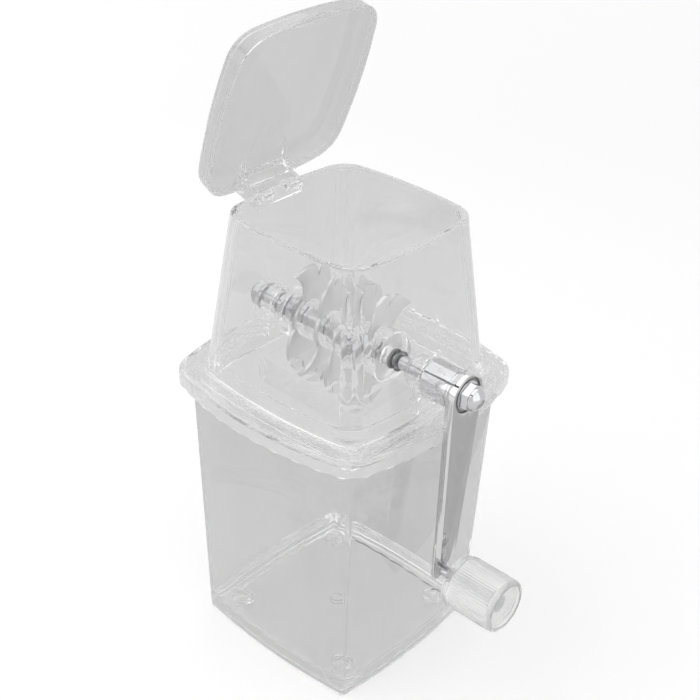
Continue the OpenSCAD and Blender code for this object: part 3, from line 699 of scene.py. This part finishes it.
def make_feet():
    """Four round cups, each with a ring of short ribs round its hollow."""
    r, top = FOOT_D / 2, BASE_RECESS
    inner = r * 0.62
    profile = (
        (0, r - 3.5, 0), (0, r - 1, 0), (0.3, r - 0.3, 0), (1, r, 0), (top - 0.3, r, 0),
        (top, r - 0.3, 0), (top, inner + 0.3, 0), (top - 0.3, inner, 0.6), (1.5, inner, 1.4),
        (1.2, inner - 1.6, 0.3), (1.1, inner - 2.5, 0),
    )
    cups = []
    for sx, sy in FOOT_SIDES:
        middle = Vector((sx * FOOT_PITCH / 2, sy * FOOT_PITCH / 2, 0))
        rings = [foot_ring(middle, z, radius, rib) for z, radius, rib in profile]
        cups.append(loft("clear_feet", rings))
    return shade(joined(cups))


def make_rings():
    """Two thin rubber rings, where the shaft leaves the right-hand disc."""
    low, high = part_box("o_rings")
    r = RING_T / 2
    rings = []
    for x in (low[0] / MM + r, high[0] / MM - r):
        hoop = []
        for a in steps(0, 2 * pi, 16)[:-1]:
            hoop.append((x + r * cos(a), RING_D / 2 - r * (1 - sin(a))))
        rings.append(placed(turned("thin_o_rings", hoop, closed=True), ON_SHAFT))
    return shade(joined(rings))


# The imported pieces


def softened(node, name, width, segments=2):
    """A CAD node's mesh with its edges eased, to stand for it."""
    made = bmesh.new()
    made.from_mesh(nodes[node].data)
    bmesh.ops.remove_doubles(made, verts=made.verts, dist=1e-6)
    bmesh.ops.dissolve_limit(made, angle_limit=radians(0.5), verts=made.verts, edges=made.edges)
    whole = [e for e in made.edges if len(e.link_faces) == 2]
    bmesh.ops.bevel(
        made,
        geom=[e for e in whole if e.calc_face_angle(0) > radians(CREASE)],
        offset=width * MM,
        segments=segments,
        profile=0.5,
        affect="EDGES",
        clamp_overlap=True,
    )
    mesh = bpy.data.meshes.new(name)
    made.to_mesh(mesh)
    made.free()
    return shade(add_object(name, mesh), CREASE)


# Materials


class Nodes:
    """A node tree with short calls to add nodes and link them."""

    def __init__(self, tree):
        self.tree = tree
        tree.nodes.clear()

    def add(self, kind, inputs=None, **settings):
        node = self.tree.nodes.new(kind)
        for name, value in settings.items():
            setattr(node, name, value)
        for name, value in (inputs or {}).items():
            if isinstance(value, bpy.types.NodeSocket):
                self.tree.links.new(value, node.inputs[name])
            else:
                node.inputs[name].default_value = value
        return node

    def noise(self, scale, detail, stretch=(1, 1, 1)):
        """A noise pattern in the object's own metres, as a socket from 0 to 1."""
        where = self.add("ShaderNodeTexCoord").outputs["Object"]
        mapped = self.add("ShaderNodeMapping", {"Vector": where, "Scale": stretch})
        inputs = {"Vector": mapped.outputs["Vector"], "Scale": scale, "Detail": detail}
        return self.add("ShaderNodeTexNoise", inputs).outputs["Fac"]

    def spread(self, socket, low, high, source_low=0.3, source_high=0.7):
        """A socket mapped to the range from low to high."""
        inputs = {
            "Value": socket,
            "From Min": source_low,
            "From Max": source_high,
            "To Min": low,
            "To Max": high,
        }
        return self.add("ShaderNodeMapRange", inputs).outputs["Result"]

    def maths(self, operation, a, b):
        return self.add("ShaderNodeMath", {0: a, 1: b}, operation=operation).outputs[0]

    def bump(self, height, strength, distance):
        inputs = {"Height": height, "Strength": strength, "Distance": distance}
        return self.add("ShaderNodeBump", inputs).outputs["Normal"]

    def mixed(self, share, first, second):
        """The first shader where the share is 0, and the second where it is 1."""
        inputs = {0: share, 1: first.outputs[0], 2: second.outputs[0]}
        return self.add("ShaderNodeMixShader", inputs)

    def surface(self, shader):
        self.add("ShaderNodeOutputMaterial", {"Surface": shader.outputs[0]})

    def path(self, *names):
        """1 where the ray is any of these kinds, else 0."""
        path = self.add("ShaderNodeLightPath")
        socket = path.outputs[names[0]]
        for name in names[1:]:
            socket = self.maths("MAXIMUM", socket, path.outputs[name])
        return socket


def new_material(name):
    made = bpy.data.materials.new(name)
    made.use_nodes = True
    return made, Nodes(made.node_tree)


# Clear plastic: where a ray leaves it, how much each later wall darkens, and the light that it lets
# through
DEEP_RAY, INNER_WALL, LIT = 8, 0.98, 0.93
# How far the painted shade of the first wall varies along the flow
PAINTED_SHADE_SPREAD = 0.03
MILK = (0.95, 0.95, 0.95, 1)
WHITE = (1, 1, 1, 1)


def clear_plastic(name, painted_shade, roughness=0.02, ripple=0.012, ior=1.49, haze_white=0.0):
    """Moulded clear plastic: faint flow ripples, a little haze, and light let through to what is
    behind. The wall that is met first is painted grey, as painted shade, so that walls behind it
    don't darken, and light that has bounced on inside a wall for long leaves it, so that edges
    stay bright."""
    made, n = new_material(name)
    flow = n.noise(38, 2.0, (1, 1, 0.35))
    fine = n.noise(900, 2.0)
    haze = n.spread(fine, roughness * 0.4, roughness)
    path = n.add("ShaderNodeLightPath")
    # Painted shade: the first wall met is painted this grey, varied a little along the flow
    tone = n.spread(flow, painted_shade * (1 - PAINTED_SHADE_SPREAD), painted_shade * (1 + PAINTED_SHADE_SPREAD))
    behind = n.maths("GREATER_THAN", path.outputs["Transmission Depth"], 0.5)
    colour = n.add("ShaderNodeMix", {0: behind, 2: tone, 3: INNER_WALL})
    shader = n.add(
        "ShaderNodeBsdfPrincipled",
        {
            "Base Color": colour.outputs[0],
            "Roughness": haze,
            "IOR": ior,
            "Transmission Weight": 1.0,
            "Normal": n.bump(flow, ripple, 0.002),
        },
    )
    if haze_white:
        milk = n.add("ShaderNodeBsdfDiffuse", {"Color": MILK, "Roughness": haze})
        shader = n.mixed(haze_white, shader, milk)
    left = n.add("ShaderNodeBsdfTransparent", {"Color": WHITE})
    deep = n.maths("GREATER_THAN", path.outputs["Ray Depth"], DEEP_RAY)
    lit = n.add("ShaderNodeBsdfTransparent", {"Color": (LIT, LIT, LIT, 1)})
    n.surface(n.mixed(path.outputs["Is Shadow Ray"], n.mixed(deep, shader, left), lit))
    return made


def polished_metal(name, colour, roughness=0.06, scratch=0.15):
    """Chrome plate: a soft orange peel and fine wiping marks."""
    made, n = new_material(name)
    peel = n.noise(450, 3.0)
    marks = n.noise(160, 4.0, (1, 1, 8))
    shader = n.add(
        "ShaderNodeBsdfPrincipled",
        {
            "Base Color": (*colour, 1),
            "Metallic": 1.0,
            "Roughness": n.spread(marks, roughness * 0.5, roughness * 1.6),
            "Normal": n.bump(peel, scratch, 0.0002),
        },
    )
    n.surface(shader)
    return made


# The claws: how far a surface turns along the shaft at a sheared edge and on a flat face, between
# which the edges' painted shade gives way to the faces' tone
EDGE_TURN, FACE_TURN = 0.6, 0.95


def satin_steel(name, face, edge):
    """Stamped stainless steel: fine grain along the blade, a mottled shine, and edges painted
    darker than the flat faces, as painted shade that tones down the light they catch."""
    made, n = new_material(name)
    grain = n.noise(2600, 2.0, (1, 1, 0.06))
    cloud = n.noise(120, 3.0)
    normal = n.add("ShaderNodeTexCoord").outputs["Normal"]
    facing = n.maths("ABSOLUTE", n.add("ShaderNodeSeparateXYZ", {0: normal}).outputs[0], 0)
    shader = n.add(
        "ShaderNodeBsdfPrincipled",
        {
            "Base Color": n.spread(facing, edge, face, EDGE_TURN, FACE_TURN),
            "Metallic": 1.0,
            "Roughness": n.spread(cloud, 0.3, 0.42),
            "Normal": n.bump(grain, 0.2, 0.0001),
        },
    )
    n.surface(shader)
    return made


def black_rubber(name, tone):
    """Matt black rubber with a fine grain."""
    made, n = new_material(name)
    grain = n.noise(1500, 3.0)
    shader = n.add(
        "ShaderNodeBsdfPrincipled",
        {
            "Base Color": (tone, tone, tone, 1),
            "Roughness": n.spread(grain, 0.35, 0.6),
            "Normal": n.bump(grain, 0.2, 0.0002),
        },
    )
    n.surface(shader)
    return made


def wear(ob, material):
    """Gives an object one material in every slot."""
    ob.data.materials.clear()
    ob.data.materials.append(material)


# The studio, in metres and watts

FLOOR_SIZE = 40
PAPER_TONE = (0.8, 0.8, 0.8, 1)
GLOW, FAR_GLOW = 0.36, 0.6
GLOW_NEAR, GLOW_FAR = 0.7, 3
ROOM_LIGHT, ROOM_SEEN = 0.55, 1.0
LAMP_AIM = (0, 0, 0.12)
KEY_PLACE, KEY_SIZE, KEY_POWER = (-0.9, -1.0, 1.3), (2.2, 2.2), 14
FILL_PLACE, FILL_SIZE, FILL_POWER = (1.3, -0.2, 0.8), (1.6, 1.6), 6
CARD_UP, CARD_DOWN = 0.75, 0.002


def paper(name):
    """Seamless white paper, which the camera sees as white and which keeps the part's shadow.
    Where the lamps don't reach, it glows a little more, so that it stays as pale."""
    made, n = new_material(name)
    grain = n.noise(300, 2.0)
    plain = n.add(
        "ShaderNodeBsdfPrincipled",
        {
            "Base Color": PAPER_TONE,
            "Roughness": n.spread(grain, 0.7, 0.9),
            "Specular IOR Level": 0.2,
        },
    )
    seen = n.path("Is Camera Ray", "Is Glossy Ray", "Is Transmission Ray")
    where = n.add("ShaderNodeTexCoord").outputs["Object"]
    away = n.add("ShaderNodeVectorMath", {0: where}, operation="LENGTH").outputs["Value"]
    strength = n.maths("MULTIPLY", seen, n.spread(away, GLOW, FAR_GLOW, GLOW_NEAR, GLOW_FAR))
    light = n.add("ShaderNodeEmission", {"Color": WHITE, "Strength": strength})
    n.surface(n.add("ShaderNodeAddShader", {0: plain.outputs[0], 1: light.outputs[0]}))
    return made


def make_floor():
    bpy.ops.mesh.primitive_plane_add(size=FLOOR_SIZE)
    floor = bpy.context.object
    floor.name = "floor"
    wear(floor, paper("floor_paper"))


def make_world():
    """A white room, which lights less than it shows."""
    world = bpy.data.worlds.new("studio")
    bpy.context.scene.world = world
    world.use_nodes = True
    n = Nodes(world.node_tree)
    seen = n.path("Is Camera Ray", "Is Glossy Ray", "Is Transmission Ray")
    strength = n.spread(seen, ROOM_LIGHT, ROOM_SEEN, 0, 1)
    sky = n.add("ShaderNodeBackground", {"Color": WHITE, "Strength": strength})
    n.add("ShaderNodeOutputWorld", {"Surface": sky.outputs[0]})


def soft_light(name, place, size, power):
    """A large square lamp that looks at the part."""
    data = bpy.data.lights.new(name, "AREA")
    data.shape = "RECTANGLE"
    data.size, data.size_y = size
    data.energy = power
    lamp = bpy.data.objects.new(name, data)
    lamp.location = place
    lamp.rotation_euler = (Vector(LAMP_AIM) - Vector(place)).to_track_quat("-Z", "Y").to_euler()
    bpy.context.scene.collection.objects.link(lamp)


def make_lights():
    soft_light("key", KEY_PLACE, KEY_SIZE, KEY_POWER)
    soft_light("fill", FILL_PLACE, FILL_SIZE, FILL_POWER)


def card(name, height, along_x, along_y, tone, through=False):
    """A level card that the camera doesn't see and that polished surfaces show as a band. With
    through on, it also shows in a mirror that is seen through clear plastic."""
    (x0, x1), (y0, y1) = along_x, along_y
    points = [(x0, y0, height), (x1, y0, height), (x1, y1, height), (x0, y1, height)]
    mesh = bpy.data.meshes.new(name)
    mesh.from_pydata(points, [], [(0, 1, 2, 3)])
    ob = add_object(name, mesh)
    made, n = new_material(name)
    strength = n.spread(n.noise(40, 2.0), tone * 0.9, tone)
    n.surface(n.add("ShaderNodeEmission", {"Color": WHITE, "Strength": strength}))
    wear(ob, made)
    ob.visible_camera = False
    ob.visible_diffuse = False
    ob.visible_transmission = through
    ob.visible_volume_scatter = False
    ob.visible_shadow = False


def make_cards():
    """What the chrome shows besides the white room."""
    card("card_over", CARD_UP, (-1.4, 0.2), (-0.33, 0.46), tone=2.1, through=True)
    card("card_line", CARD_UP, (-1.4, 0.2), (-0.53, -0.37), tone=0.02, through=True)
    card("card_beside", CARD_DOWN, (0.1, 0.32), (0.03, 0.26), tone=0.65)


def stands_for(piece, body, slot, material, *replaced):
    """A piece that is shown in the place of CAD nodes."""
    wear(piece, material)
    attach(piece, body)
    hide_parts(*replaced)


# The scene

CLEAR_BOUNCES, MIRROR_BOUNCES = 32, 12
bpy.context.scene.view_settings.view_transform = "Standard"
bpy.context.scene.cycles.max_bounces = CLEAR_BOUNCES
bpy.context.scene.cycles.transmission_bounces = CLEAR_BOUNCES
bpy.context.scene.cycles.glossy_bounces = MIRROR_BOUNCES
bpy.context.scene.cycles.transparent_max_bounces = CLEAR_BOUNCES
make_camera()
make_world()
make_lights()
make_floor()
make_cards()

# Each clear part's first wall is painted its own grey of painted shade: the bin darkest, then the
# lid and the hopper, and the small parts lightest
clear = clear_plastic("clear_plastic", painted_shade=0.275, ripple=0.006)
clear_hopper = clear_plastic("clear_plastic_hopper", painted_shade=0.425, ripple=0.004)
clear_lid = clear_plastic("clear_plastic_lid", painted_shade=0.35, roughness=0.16, ripple=0.004, ior=1.4)
clear_knob = clear_plastic("clear_plastic_knob", painted_shade=0.79, roughness=0.2, haze_white=0.14)
clear_small = clear_plastic("clear_plastic_small", painted_shade=0.7)
clear_grate = clear_plastic("clear_plastic_grate", painted_shade=0.95, ior=1.1)
clear_feet = clear_plastic("clear_plastic_feet", painted_shade=0.97)
chrome = polished_metal("chrome_plate", (0.53, 0.53, 0.54))
# The sleeve wears a lighter copy of the chrome plate: painted light, so that the bands it shows
# read brighter
lit_sleeve_chrome = polished_metal("chrome_sleeve_painted_light", (0.68, 0.68, 0.69))
pressed = polished_metal("pressed_steel", (0.62, 0.62, 0.62), roughness=0.08, scratch=0.05)
# The claws' edges are painted darker than their faces: painted shade
steel = satin_steel("stainless_steel", face=0.96, edge=0.7)
rubber = black_rubber("black_rubber", tone=0.26)

FINISH = {
    "clear_plastic": clear_small,
    "knob_plastic": clear_knob,
    "stainless_steel": steel,
    "pressed_steel": pressed,
    "chrome_plate": chrome,
    "black_rubber": rubber,
}
for part in frame["record"]["subparts"]:
    wear(nodes[part["node"]], FINISH[part["material_slot"]])
wear(nodes["breaker_grate"], clear_grate)
wear(nodes["crank_sleeve"], lit_sleeve_chrome)

stands_for(make_bin(), "base", "clear_plastic", clear, "bin")
stands_for(make_feet(), "base", "clear_plastic", clear_feet, "feet")
stands_for(make_hopper(), "head", "clear_plastic", clear_hopper, "hopper")
stands_for(make_lid(), "lid", "clear_plastic", clear_lid, "lid")
stands_for(make_knob(), "knob", "knob_plastic", clear_knob, "knob")
for node in ("blade_1", "blade_2", "blade_3", "blade_4"):
    claw = softened(node, "claw_" + node, CLAW_EASE)
    stands_for(claw, "rotor", "stainless_steel", steel, node)
arm = softened("crank_arm", "pressed_crank_arm", ARM_EASE, segments=3)
stands_for(arm, "rotor", "pressed_steel", pressed, "crank_arm")
for node in ("crank_cap_nut", "cap_nut_left"):
    nut = softened(node, node + "_domed", NUT_EASE)
    stands_for(nut, "rotor", "chrome_plate", chrome, node)
stands_for(make_rings(), "rotor", "black_rubber", rubber, "o_rings")
for node in ("disc_left", "disc_right"):
    disc = softened(node, "clear_" + node, DISC_EASE, segments=3)
    stands_for(disc, "rotor", "clear_plastic", clear_small, node)
